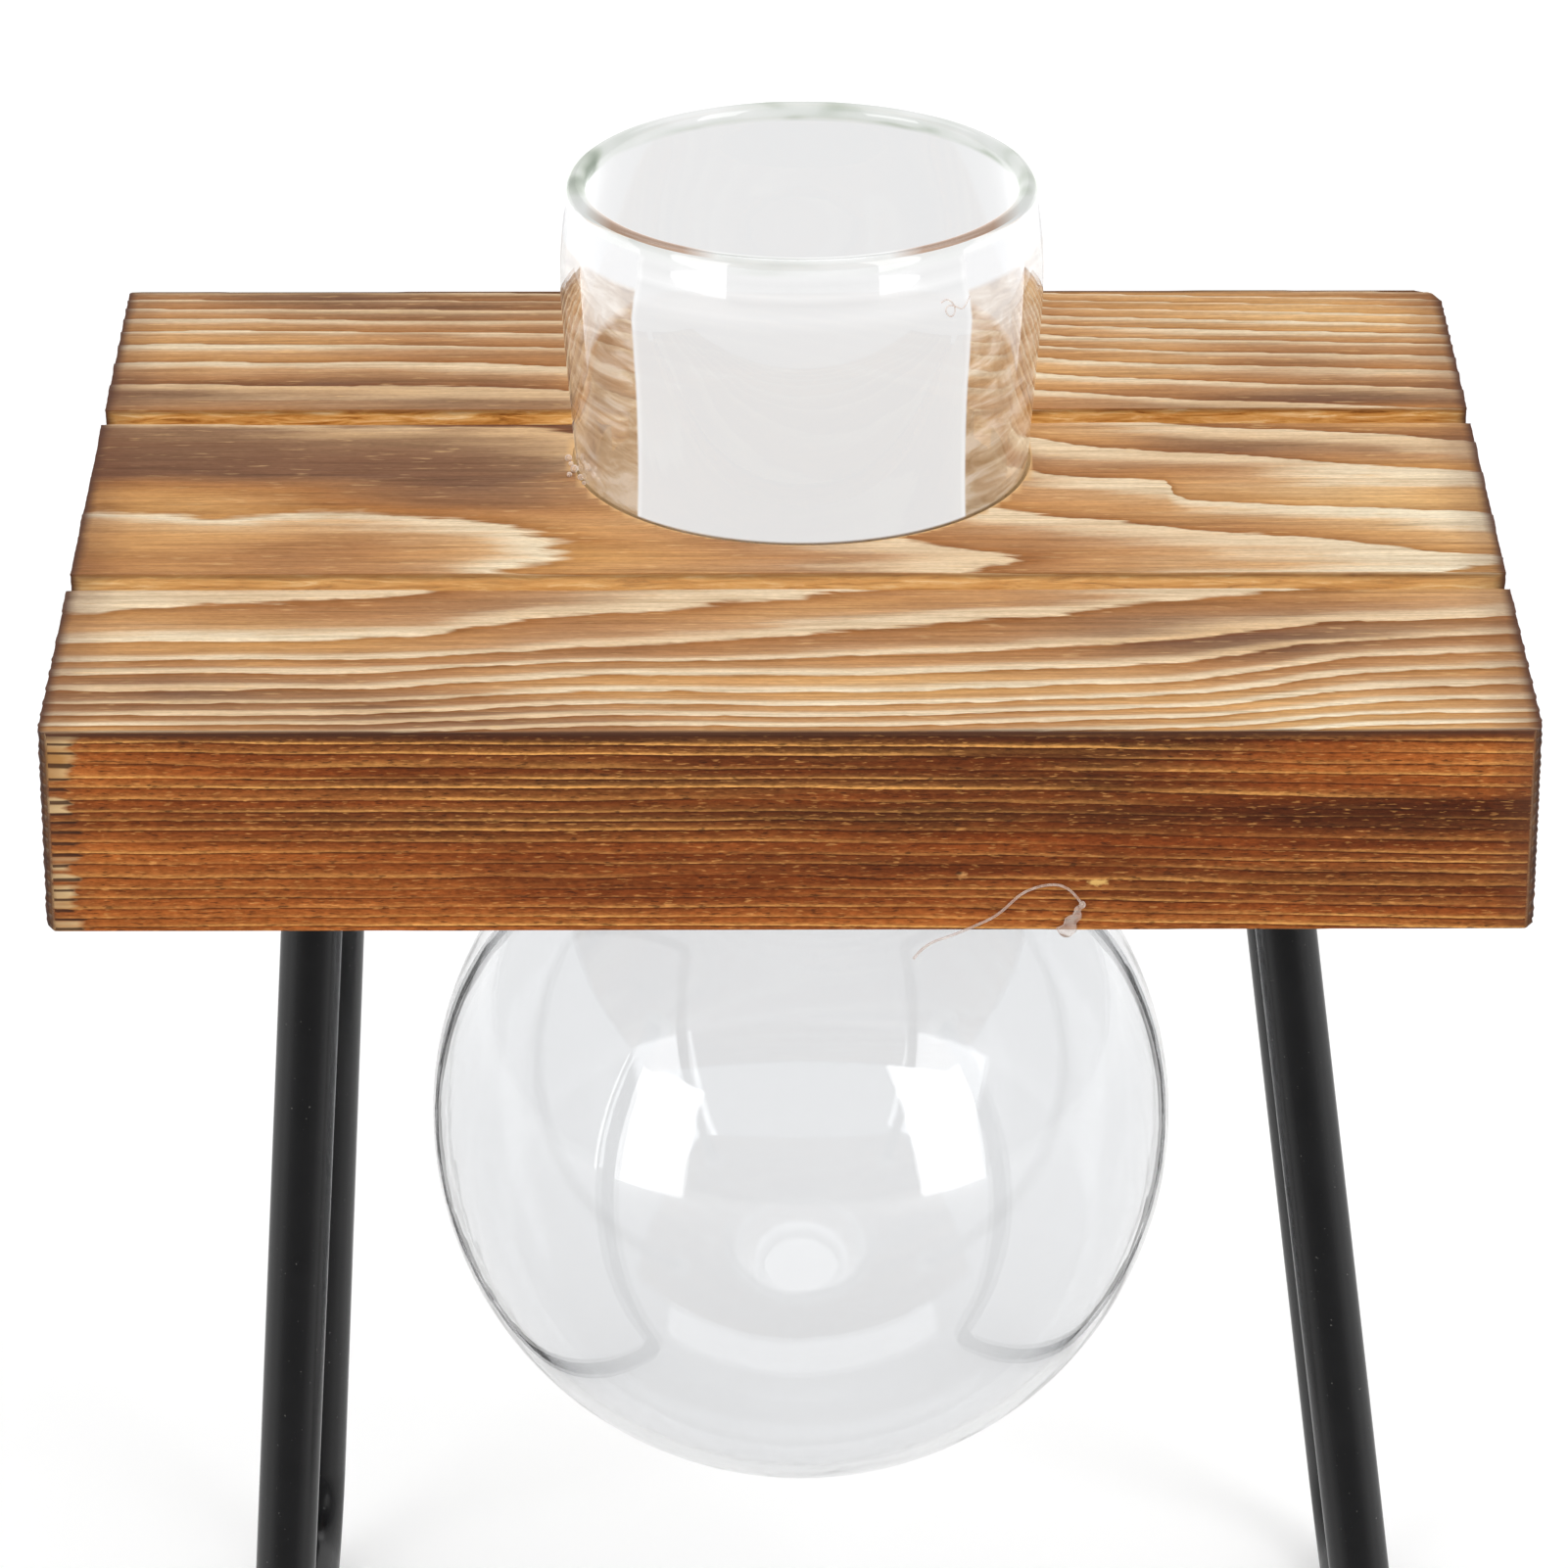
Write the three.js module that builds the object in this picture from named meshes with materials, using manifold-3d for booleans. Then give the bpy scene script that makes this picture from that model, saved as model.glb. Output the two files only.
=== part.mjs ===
// Hydroponic vase: a blown glass bulb hung by its neck in a scorched pine board, which stands on
// two frames of bent black wire. Millimetres and degrees, +Z up, floor at z = 0, front facing -Y.

import * as THREE from 'three';
import { mergeVertices } from 'three/addons/utils/BufferGeometryUtils.js';
import Module from 'manifold-3d';

const wasm = await Module();
wasm.setup();

// Clearance between pieces that touch or are glued
const fitGap = 0.3;

// Pine board
const boardWidth = 150;
const boardDepth = 122;
const boardThickness = 22;
const boardTopHeight = 160;
const boardArris = 0.5;
const frontCornerRadius = 1.5;
const rearLeftCornerRadius = 1;
const rearRightCornerRadius = 4;

// Two saw cuts across the top of the board, each placed by its middle, from the front edge
const grooveWidth = 4.3;
const grooveDepth = 3;
const frontGrooveSetback = 38.3;
const rearGrooveSetback = 83.9;

// Glass vase, with heights taken from the top of the board, up positive
const vaseOffsetX = 1.6;
const vaseSetback = 72.6;
const neckRadiusUnderBoard = 23.2;
const neckRadiusAtBoard = 24.5;
const neckBellyRadius = 25.9;
const neckBellyHeight = 20.5;
const lipRadius = 25.1;
const lipHeight = 30.9;
const neckWall = 2.1;
const shoulderRadius = 14;
const globeRadius = 41.5;
const globeCentreDepth = 79.8;
const globeWall = 1.5;

// Wire leg frames, each one wire bent into a foot runner and two legs. Where the legs enter the
// board, a frame is set in from the board's end, and each leg from the board's long edge.
const wireDiameter = 6.4;
const wireBendRadius = 9;
const leftFrameInset = 25.9;
const leftFrameLean = 3.4;
const rightFrameInset = 24.7;
const rightFrameLean = 7.4;
const legInset = 26.2;
const legSpread = 6.3;
const legSocketDepth = 12;

// Hot-melt glue
const neckGlueWidth = 3.4;
const neckGlueHeight = 5;
const legGlueWidth = 3;
const legGlueHeight = 3.2;

// Facets on round work
const vaseSegments = 56;
const neckSteps = 10;
const globeSteps = 18;
const shoulderSteps = 4;
const lipSteps = 5;
const wireSides = 16;
const bendSteps = 8;
const glueSegments = 24;
const glueSteps = 3;
const cornerSegments = 4;
const arrisSegments = 2;

// Cutters run past the faces that they open by this much
const cutterOverrun = 5;

// Places worked out from the sizes
const undersideHeight = boardTopHeight - boardThickness;
const frontEdgeY = -boardDepth / 2;
const vaseY = frontEdgeY + vaseSetback;
const leftFrameTopX = leftFrameInset - boardWidth / 2;
const rightFrameTopX = boardWidth / 2 - rightFrameInset;
const legTopHalfSpacing = boardDepth / 2 - legInset;
const wireRadius = wireDiameter / 2;
const sides = [
  { name: 'left', topX: leftFrameTopX, turn: THREE.MathUtils.degToRad(leftFrameLean) },
  { name: 'right', topX: rightFrameTopX, turn: -THREE.MathUtils.degToRad(rightFrameLean) },
];
const ends = [
  { name: 'front', direction: -1 },
  { name: 'rear', direction: 1 },
];

const pine = { color: 0xc49a6c, roughness: 0.72, metalness: 0 };
const glass = { color: 0xe6e9ea, roughness: 0.03, metalness: 0, transparent: true, opacity: 0.35 };
const blackCoat = { color: 0x1c1c1d, roughness: 0.38, metalness: 0 };
const hotMelt = { color: 0xe9e2d3, roughness: 0.35, metalness: 0, transparent: true, opacity: 0.8 };

// Turns a closed geometry into a solid that can be cut. Poles and seams are welded first.
function solidFrom(geometry) {
  const bare = geometry.clone();
  bare.deleteAttribute('normal');
  bare.deleteAttribute('uv');
  const welded = mergeVertices(bare);
  const corners = welded.getIndex().array;
  const triangles = [];
  for (let i = 0; i < corners.length; i += 3) {
    const [a, b, c] = corners.slice(i, i + 3);
    if (a !== b && b !== c && c !== a) triangles.push(a, b, c);
  }
  return new wasm.Manifold(new wasm.Mesh({
    numProp: 3,
    vertProperties: new Float32Array(welded.getAttribute('position').array),
    triVerts: new Uint32Array(triangles),
  }));
}

// Wraps a finished solid as a named mesh with a material of its own.
function namedMesh(name, solid, look) {
  const { vertProperties, triVerts } = solid.getMesh();
  const geometry = new THREE.BufferGeometry();
  geometry.setAttribute('position', new THREE.BufferAttribute(vertProperties, 3));
  geometry.setIndex(new THREE.BufferAttribute(triVerts, 1));
  geometry.computeVertexNormals();
  const mesh = new THREE.Mesh(geometry, new THREE.MeshStandardMaterial(look));
  mesh.name = name;
  return mesh;
}

// Revolves an outline of radius and height about the vertical axis.
function turned(outline, segments) {
  return new THREE.LatheGeometry(outline, segments).rotateX(Math.PI / 2);
}

function arcPoints(centreX, centreY, radiusX, radiusY, startAngle, endAngle, steps) {
  const clockwise = endAngle < startAngle;
  const arc = new THREE.EllipseCurve(centreX, centreY, radiusX, radiusY, startAngle, endAngle, clockwise);
  return arc.getPoints(steps);
}

function roundArc(centreX, centreY, radius, startAngle, endAngle, steps) {
  return arcPoints(centreX, centreY, radius, radius, startAngle, endAngle, steps);
}

// One side of the glass wall, from the bottom of the globe up to the lip. The wall's outer side
// has no inset, and its inner side is inset by the thickness of the neck and of the globe.
function wallOutline(neckInset, globeInset, shoulder) {
  const globe = globeRadius - globeInset;
  const neckFoot = neckRadiusUnderBoard - neckInset;
  const shoulderX = neckFoot + shoulder;
  const shoulderRise = Math.sqrt((globe + shoulder) ** 2 - shoulderX ** 2);
  const meetAngle = Math.atan2(shoulderRise, shoulderX);
  const shoulderY = shoulderRise - globeCentreDepth;
  const neck = new THREE.SplineCurve([
    new THREE.Vector2(neckFoot, -boardThickness),
    new THREE.Vector2(neckRadiusAtBoard - neckInset, 0),
    new THREE.Vector2(neckBellyRadius - neckInset, neckBellyHeight),
    new THREE.Vector2(lipRadius - neckInset, lipHeight),
  ]);
  return [
    ...roundArc(0, -globeCentreDepth, globe, -Math.PI / 2, meetAngle, globeSteps),
    ...roundArc(shoulderX, shoulderY, shoulder, Math.PI + meetAngle, Math.PI, shoulderSteps).slice(1),
    ...neck.getPoints(neckSteps),
  ];
}

function makeVase() {
  const outer = wallOutline(0, 0, shoulderRadius);
  const inner = wallOutline(neckWall, globeWall, shoulderRadius + (neckWall + globeWall) / 2);
  const lipCentre = lipRadius - neckWall / 2;
  const lip = roundArc(lipCentre, lipHeight, neckWall / 2, 0, Math.PI, lipSteps).slice(1, -1);
  const outline = [...outer, ...lip, ...inner.reverse()];
  outline[0].x = 0;
  outline.at(-1).x = 0;
  const bulb = turned(outline, vaseSegments).translate(vaseOffsetX, vaseY, boardTopHeight);
  return namedMesh('glass_vase', solidFrom(bulb), glass);
}

// A ring of glue under the board, filling the corner between the board and the neck as a fillet.
function makeNeckGlue() {
  const inside = neckRadiusUnderBoard + fitGap;
  const outside = inside + neckGlueWidth;
  const corner = new THREE.Vector2(inside, 0);
  const fillet = arcPoints(
    outside, -neckGlueHeight, neckGlueWidth, neckGlueHeight, Math.PI, Math.PI / 2, glueSteps,
  );
  const ring = turned([corner, ...fillet, corner.clone()], vaseSegments);
  ring.translate(vaseOffsetX, vaseY, undersideHeight - fitGap);
  return namedMesh('neck_glue', solidFrom(ring), hotMelt);
}

// The board's outline seen from above, with a radius of its own at each corner.
function boardPlan() {
  const quarterTurn = Math.PI / 2;
  const corners = [
    { x: 1, y: -1, radius: frontCornerRadius },
    { x: 1, y: 1, radius: rearRightCornerRadius },
    { x: -1, y: 1, radius: rearLeftCornerRadius },
    { x: -1, y: -1, radius: frontCornerRadius },
  ];
  const plan = new THREE.Shape();
  corners.forEach(({ x, y, radius }, i) => {
    const start = (i - 1) * quarterTurn;
    const centreX = x * (boardWidth / 2 - radius);
    const centreY = y * (boardDepth / 2 - radius);
    plan.absarc(centreX, centreY, radius, start, start + quarterTurn);
  });
  return plan;
}

function makeBoard() {
  const blank = new THREE.ExtrudeGeometry(boardPlan(), {
    depth: boardThickness - 2 * boardArris,
    curveSegments: cornerSegments,
    bevelThickness: boardArris,
    bevelSize: boardArris,
    bevelOffset: -boardArris,
    bevelSegments: arrisSegments,
  });
  blank.translate(0, 0, undersideHeight + boardArris);
  let board = solidFrom(blank);

  const cutterHeight = boardThickness + 2 * cutterOverrun;
  const holeRadius = neckRadiusAtBoard + fitGap;
  const hole = new THREE.CylinderGeometry(holeRadius, holeRadius, cutterHeight, vaseSegments);
  hole.rotateX(Math.PI / 2).translate(vaseOffsetX, vaseY, boardTopHeight - boardThickness / 2);
  board = board.subtract(solidFrom(hole));

  for (const setback of [frontGrooveSetback, rearGrooveSetback]) {
    const cutDepth = grooveDepth + cutterOverrun;
    const groove = new THREE.BoxGeometry(boardWidth + 2 * cutterOverrun, grooveWidth, cutDepth);
    groove.translate(0, frontEdgeY + setback, boardTopHeight - grooveDepth + cutDepth / 2);
    board = board.subtract(solidFrom(groove));
  }

  for (const side of sides) {
    for (const end of ends) board = board.subtract(solidFrom(legBore(side, end)));
  }
  return namedMesh('board', board, pine);
}

// Each leg frame is flat. It leans outward about a line along the underside of the board.
function frameMatrix(side) {
  const lean = new THREE.Matrix4().makeRotationY(side.turn);
  return lean.setPosition(side.topX, 0, undersideHeight);
}

// A point on a leg's centre line, in its frame's plane, at a height along that plane.
function legPoint(end, height) {
  const slope = Math.tan(THREE.MathUtils.degToRad(legSpread));
  return new THREE.Vector3(0, end.direction * (legTopHalfSpacing - height * slope), height);
}

// A round bore about a leg's centre line, from below the board up to the bottom of its socket.
function legBore(side, end) {
  const start = legPoint(end, -cutterOverrun);
  const finish = legPoint(end, legSocketDepth + fitGap);
  const along = finish.clone().sub(start);
  const boreRadius = wireRadius / Math.cos(Math.PI / wireSides) + fitGap;
  const bore = new THREE.CylinderGeometry(boreRadius, boreRadius, along.length(), glueSegments);
  const aim = new THREE.Quaternion().setFromUnitVectors(new THREE.Vector3(0, 1, 0), along.normalize());
  bore.applyQuaternion(aim);
  const middle = start.lerp(finish, 0.5);
  return bore.translate(middle.x, middle.y, middle.z).applyMatrix4(frameMatrix(side));
}

// A wire's centre line: straight runs between corners, each corner rounded to the bend radius.
class BentWire extends THREE.Curve {
  constructor(corners, bendRadius) {
    super();
    this.stations = [corners[0]];
    for (let i = 1; i < corners.length - 1; i += 1) this.addBend(corners, i, bendRadius);
    this.stations.push(corners.at(-1));
  }

  addBend(corners, i, bendRadius) {
    const back = corners[i - 1].clone().sub(corners[i]).normalize();
    const onward = corners[i + 1].clone().sub(corners[i]).normalize();
    const halfAngle = back.angleTo(onward) / 2;
    const toCentre = back.clone().add(onward).normalize();
    const centre = corners[i].clone().addScaledVector(toCentre, bendRadius / Math.sin(halfAngle));
    const first = corners[i].clone().addScaledVector(back, bendRadius / Math.tan(halfAngle));
    const axis = onward.clone().cross(back).normalize();
    const sweep = Math.PI - 2 * halfAngle;
    for (let step = 0; step <= bendSteps; step += 1) {
      const spoke = first.clone().sub(centre).applyAxisAngle(axis, (sweep * step) / bendSteps);
      this.stations.push(centre.clone().add(spoke));
    }
  }

  get steps() {
    return this.stations.length - 1;
  }

  getPoint(t) {
    const place = t * this.steps;
    const before = Math.min(Math.floor(place), this.steps - 1);
    return this.stations[before].clone().lerp(this.stations[before + 1], place - before);
  }

  getPointAt(u) {
    return this.getPoint(u);
  }

  getTangentAt(u) {
    return this.getTangent(u);
  }
}

// The wire's section, with flats at its true radius, turned so that one flat lies on the floor.
function wireSection(turn) {
  const cornerRadius = wireRadius / Math.cos(Math.PI / wireSides);
  const points = [];
  for (let i = 0; i < wireSides; i += 1) {
    const angle = ((i + 0.5) * 2 * Math.PI) / wireSides + turn;
    points.push(new THREE.Vector2(cornerRadius * Math.cos(angle), cornerRadius * Math.sin(angle)));
  }
  return new THREE.Shape(points);
}

function makeLegFrame(side) {
  const runnerHeight = -(undersideHeight - wireRadius) / Math.cos(side.turn);
  const [front, rear] = ends;
  const corners = [
    legPoint(front, legSocketDepth),
    legPoint(front, runnerHeight),
    legPoint(rear, runnerHeight),
    legPoint(rear, legSocketDepth),
  ];
  const path = new BentWire(corners, wireBendRadius);
  const wire = new THREE.ExtrudeGeometry(wireSection(-side.turn), { steps: path.steps, extrudePath: path });
  wire.applyMatrix4(frameMatrix(side));
  return namedMesh(`${side.name}_leg_frame`, solidFrom(wire), blackCoat);
}

// A domed collar of glue under the board where a leg enters its socket.
function makeLegGlue(side, end) {
  const outside = wireRadius + fitGap + legGlueWidth;
  const outline = arcPoints(0, 0, outside, legGlueHeight, -Math.PI / 2, 0, glueSteps);
  outline[0].x = 0;
  outline.push(new THREE.Vector2(0, 0));
  const entry = legPoint(end, 0).applyMatrix4(frameMatrix(side));
  const dome = turned(outline, glueSegments).translate(entry.x, entry.y, undersideHeight - fitGap);
  const collar = solidFrom(dome).subtract(solidFrom(legBore(side, end)));
  return namedMesh(`${end.name}_${side.name}_leg_glue`, collar, hotMelt);
}

const vase = new THREE.Group();
vase.add(makeBoard(), makeVase(), makeNeckGlue());
for (const side of sides) {
  vase.add(makeLegFrame(side));
  for (const end of ends) vase.add(makeLegGlue(side, end));
}

export default vase;
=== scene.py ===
import math

import bmesh
import bpy
from mathutils import Matrix, Vector, noise


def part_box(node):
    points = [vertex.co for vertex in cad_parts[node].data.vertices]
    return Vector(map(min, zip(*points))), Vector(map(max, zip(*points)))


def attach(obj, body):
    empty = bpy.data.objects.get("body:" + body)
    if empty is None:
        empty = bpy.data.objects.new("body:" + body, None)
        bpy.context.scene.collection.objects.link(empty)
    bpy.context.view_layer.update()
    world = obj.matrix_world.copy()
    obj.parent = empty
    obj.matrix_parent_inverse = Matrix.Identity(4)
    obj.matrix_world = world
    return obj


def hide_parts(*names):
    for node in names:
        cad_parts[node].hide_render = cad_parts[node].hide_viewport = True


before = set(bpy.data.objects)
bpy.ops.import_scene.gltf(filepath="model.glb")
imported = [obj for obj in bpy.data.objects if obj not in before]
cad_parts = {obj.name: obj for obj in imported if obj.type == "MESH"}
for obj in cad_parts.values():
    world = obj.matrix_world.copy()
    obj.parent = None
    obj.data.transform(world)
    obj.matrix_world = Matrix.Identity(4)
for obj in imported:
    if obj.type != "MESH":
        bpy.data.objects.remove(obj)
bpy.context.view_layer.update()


# The board is one piece of flat-sawn pine, rounded at its corners, torched and wire-brushed: the
# pale hard wood of each year ring stands proud, and the burnt soft wood between lies lower. Two
# saw cuts cross its top, raw inside. The vase's neck passes a bored hole, and each leg has a socket.

board_low, board_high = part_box("board")
front_set_in = 0.0005           # leaves room in the CAD box for the glue thread on the front face
front_y = board_low[1] + front_set_in
rear_y = board_high[1]
top_z = board_high[2]
under_z = board_low[2]
half_width = board_high[0]
arris = 0.0002
weld = 0.000005                 # corners this close are one

front_corner = 0.0015
rear_left_corner = 0.001
rear_right_corner = 0.004
corner_zone = 0.002

groove_width = 0.0043
groove_depth = 0.003
front_groove_y = board_low[1] + 0.0383
rear_groove_y = board_low[1] + 0.0839

vase_x = 0.0016
vase_y = board_low[1] + 0.0726
hole_radius = 0.0248


def work_on(*objects):
    bpy.ops.object.select_all(action='DESELECT')
    for thing in objects:
        thing.select_set(True)
    bpy.context.view_layer.objects.active = objects[0]


def start_editing(piece):
    work_on(piece)
    bpy.ops.object.mode_set(mode='EDIT')


def stop_editing():
    bpy.ops.object.mode_set(mode='OBJECT')


def pick(kind, wanted):
    """Selects only the vertices, edges or faces of the piece being edited that are wanted."""
    mode = {'verts': 'VERT', 'edges': 'EDGE', 'faces': 'FACE'}[kind]
    bpy.ops.mesh.select_mode(type=mode)
    bpy.ops.mesh.select_all(action='DESELECT')
    mesh = bpy.context.object.data
    shape = bmesh.from_edit_mesh(mesh)
    for part in getattr(shape, kind):
        if wanted(part):
            part.select_set(True)
    shape.select_flush_mode()
    bmesh.update_edit_mesh(mesh, loop_triangles=False)


def cut_edges(wanted, cuts):
    pick('edges', wanted)
    bpy.ops.mesh.subdivide(number_cuts=cuts)


def runs_along(edge, axis):
    run = edge.verts[1].co - edge.verts[0].co
    return abs(run[axis]) > 0.999 * run.length


def middle_of(edge):
    return (edge.verts[0].co + edge.verts[1].co) / 2


def near(value, target, reach=0.00002):
    return abs(value - target) < reach


def settle(piece):
    """Moves the piece's place, turn and scale into its mesh."""
    work_on(piece)
    bpy.ops.object.transform_apply(location=True, rotation=True, scale=True)


def named(name):
    """Names the object that was added last, and gives it."""
    bpy.context.object.name = name
    return bpy.context.object


def take_all():
    bpy.ops.mesh.select_all(action='SELECT')


def extrude(move):
    bpy.ops.mesh.extrude_region_move(TRANSFORM_OT_translate={"value": move})


def close_up():
    """Joins what meets in the mesh being edited, turns its faces outward and stops editing."""
    take_all()
    bpy.ops.mesh.remove_doubles(threshold=weld)
    bpy.ops.mesh.normals_make_consistent(inside=False)
    stop_editing()


def finish_modifier(piece, modifier):
    work_on(piece)
    bpy.ops.object.modifier_apply(modifier=modifier.name)


def shade_smooth(piece, sharp_from=40):
    """Shades the piece smooth, but not across edges that turn more than this many degrees."""
    work_on(piece)
    bpy.ops.object.shade_smooth_by_angle(angle=math.radians(sharp_from))


def add_block(name, low, high):
    """Adds a cube primitive that fills the box between two corners, with its place in its mesh."""
    middle = [(a + b) / 2 for a, b in zip(low, high)]
    bpy.ops.mesh.primitive_cube_add(size=1, location=middle)
    block = named(name)
    block.scale = [b - a for a, b in zip(low, high)]
    settle(block)
    return block


# The sawn bar: an open-ended box, with its long arrises eased and its faces cut into fine strips.
bar_half = half_width + 0.001
board = add_block("pine_board", (-bar_half, front_y, under_z), (bar_half, rear_y, top_z))
start_editing(board)
pick('faces', lambda f: abs(f.normal.x) > 0.9)
bpy.ops.mesh.delete(type='ONLY_FACE')
pick('edges', lambda e: runs_along(e, 0))
bpy.ops.mesh.bevel(offset=arris, segments=2, affect='EDGES')

groove_edges = []
for groove_y in (front_groove_y, rear_groove_y):
    for side in (-1, 1):
        groove_edges.append(groove_y + side * groove_width / 2)
        pick('faces', lambda f: f.normal.z > 0.99)
        bpy.ops.mesh.bisect(plane_co=(0, groove_edges[-1], 0), plane_no=(0, 1, 0))

top_strip = 0.0004
front_strip = 0.00025
rear_strip = 0.0005
under_strip = 0.0016
borders = [front_y + arris] + groove_edges + [rear_y - arris]
for low_y, high_y in zip(borders, borders[1:]):
    cut_edges(lambda e: near(middle_of(e).z, top_z) and near(middle_of(e).y, (low_y + high_y) / 2)
              and runs_along(e, 1), round((high_y - low_y) / top_strip) - 1)
for face_y, strip in ((front_y, front_strip), (rear_y, rear_strip)):
    cut_edges(lambda e: near(middle_of(e).y, face_y) and runs_along(e, 2),
              round((top_z - under_z) / strip) - 1)
cut_edges(lambda e: near(middle_of(e).z, under_z) and runs_along(e, 1),
          round((rear_y - front_y) / under_strip) - 1)

groove_steps = 6
pick('faces', lambda f: f.normal.z > 0.99 and (
    groove_edges[0] < f.calc_center_median().y < groove_edges[1]
    or groove_edges[2] < f.calc_center_median().y < groove_edges[3]))
for step in range(groove_steps):
    extrude((0, 0, -groove_depth / groove_steps))
pick('faces', lambda f: abs(f.calc_center_median().x) > bar_half - 0.0001)
bpy.ops.mesh.delete(type='ONLY_FACE')

# Cuts across the grain, in two goes because one call makes at most a hundred.
first_cuts, second_cuts = 1, 59
for cuts in (first_cuts, second_cuts):
    cut_edges(lambda e: runs_along(e, 0), cuts)
for side in (-1, 1):
    pick('edges', lambda e: all(near(v.co.x, side * bar_half) for v in e.verts))
    bpy.ops.mesh.edge_face_add()
take_all()
bpy.ops.mesh.normals_make_consistent(inside=False)
stop_editing()

# The outline that the bar is cut to: square ends and four upright corners, each with its radius.
outline_slack = 0.00002
height_cuts = 49
depth_cuts = 80
outline = add_block(
    "outline",
    (-half_width, front_y - outline_slack, under_z - 0.001),
    (half_width, rear_y + outline_slack, top_z + 0.001),
)
start_editing(outline)
for corner_x, corner_y, radius in (
    (-1, -1, front_corner), (1, -1, front_corner), (-1, 1, rear_left_corner), (1, 1, rear_right_corner),
):
    pick('edges', lambda e: runs_along(e, 2) and near(middle_of(e).x, corner_x * half_width)
         and middle_of(e).y * corner_y > rear_y - corner_zone)
    bpy.ops.mesh.bevel(offset=radius, segments=6, affect='EDGES')
cut_edges(lambda e: runs_along(e, 2), height_cuts)
cut_edges(lambda e: runs_along(e, 1) and near(abs(middle_of(e).x), half_width), depth_cuts)
stop_editing()

# Cutters for the hole and for the legs' sockets, which lean and splay as the legs do.
hole_sides = 168
hole_cuts = 50
hole_cutter_height = 0.04
bpy.ops.mesh.primitive_cylinder_add(
    vertices=hole_sides, radius=hole_radius, depth=hole_cutter_height,
    location=(vase_x, vase_y, (top_z + under_z) / 2))
hole = named("hole")
settle(hole)
start_editing(hole)
cut_edges(lambda e: runs_along(e, 2), hole_cuts)
stop_editing()

wire_radius = 0.0032
wire_sides = 32
leg_spread = math.radians(6.3)
leg_half_spacing = 0.0348
socket_depth = 0.0123
socket_radius = 0.00356
leg_frames = (
    {"side": "left", "top_x": -0.0491, "lean": math.radians(3.4)},
    {"side": "right", "top_x": 0.0503, "lean": -math.radians(7.4)},
)


def leg_frame_matrix(leg_frame):
    """A leg frame is flat. It leans about a line along the underside of the board."""
    lean = Matrix.Rotation(leg_frame["lean"], 4, 'Y')
    return Matrix.Translation((leg_frame["top_x"], 0, under_z)) @ lean


def leg_point(end, height):
    """A point on a leg's middle line, in the plane of its frame. end is -1 in front, 1 behind."""
    return Vector((0, end * (leg_half_spacing - height * math.tan(leg_spread)), height))


cutters = [hole]
for leg_frame in leg_frames:
    for end in (-1, 1):
        place = leg_frame_matrix(leg_frame)
        foot = place @ leg_point(end, -0.005)
        head = place @ leg_point(end, socket_depth)
        turn = Vector((0, 0, 1)).rotation_difference(head - foot).to_euler()
        bpy.ops.mesh.primitive_cylinder_add(
            vertices=wire_sides, radius=socket_radius, depth=(head - foot).length,
            location=(head + foot) / 2, rotation=turn)
        cutters.append(bpy.context.object)
work_on(*cutters)
bpy.ops.object.join()
cutter = bpy.context.object
settle(cutter)

for tool, operation in ((outline, 'INTERSECT'), (cutter, 'DIFFERENCE')):
    cut = board.modifiers.new("cut", 'BOOLEAN')
    cut.operation = operation
    cut.solver = 'MANIFOLD'
    cut.object = tool
    finish_modifier(board, cut)
    bpy.data.objects.remove(tool)
start_editing(board)
take_all()
bpy.ops.mesh.remove_doubles(threshold=2 * weld)
stop_editing()


# Year rings of the board. The ring count rises towards a ridge that runs along the board behind the
# front groove, and falls off it on both sides, more steeply towards the edges.
ring_thickness = 0.0012
ridge_y = -16.0                 # this and the lengths in ring_count_at are in millimetres


def soft_step(low, high, value):
    t = min(max((value - low) / (high - low), 0.0), 1.0)
    return t * t * (3 - 2 * t)


def bump_at(value, middle, width):
    return math.exp(-((value - middle) / width) ** 2)


def ring_count_at(x, y):
    """The ring count on the top face, at a place in millimetres."""
    drop = 8 * math.log1p(math.exp((x + 28) / 8))
    ridge = 9.2 - 0.0024 * (x + 75) - 0.0185 * drop
    behind = y - ridge_y
    tongue = 0.5 * (1 - soft_step(-48, -20, x)) * (1 - soft_step(2, 14, behind))
    if behind > 0:
        slope = 0.020 + 0.066 * soft_step(-28, 34, x)
        slump = 0.42 * soft_step(40.5, 42.5, x) * (1 - soft_step(50, 75, x)) * bump_at(y, 1, 5)
        return ridge + tongue - slope * behind - 2.2e-7 * behind ** 4 - slump
    before = -behind
    bend = soft_step(38, 60, x) * soft_step(12, 30, before)
    crowd = 0.5 * soft_step(24, 30, before) * (1 - soft_step(-20, 10, x))
    fall = 0.05 * (math.sqrt(before ** 2 + 4) - 2) + 6.7e-5 * before ** 3
    return ridge + tongue - fall - bend - crowd


def wander(x, y, z, along, across, seed):
    """Smooth noise from -1 to 1 that is longer along the grain than across it."""
    return noise.noise(Vector((x / along + seed, y / across + seed, z / across - seed)))


def rings_at(x, y, z, on_long_edge):
    """The ring count anywhere on the board. The long edges cut the rings as level lines."""
    depth = (top_z - z) / ring_thickness
    if on_long_edge:
        sag = 1.2 * soft_step(-0.01, 0.075, x) + 0.5 * wander(x, 0, z, 0.09, 0.02, 1.3)
        sag += 0.45 * wander(x, 0, z, 0.30, 0.0024, 11.7)
        return sag - depth + 0.16 * wander(x, y, z, 0.012, 0.003, 7.7)
    waver = 0.16 * wander(x, y, 0, 0.030, 0.011, 3.1) + 0.07 * wander(x, y, z, 0.012, 0.004, 7.7)
    return ring_count_at(x * 1000, y * 1000) + depth + waver


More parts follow.
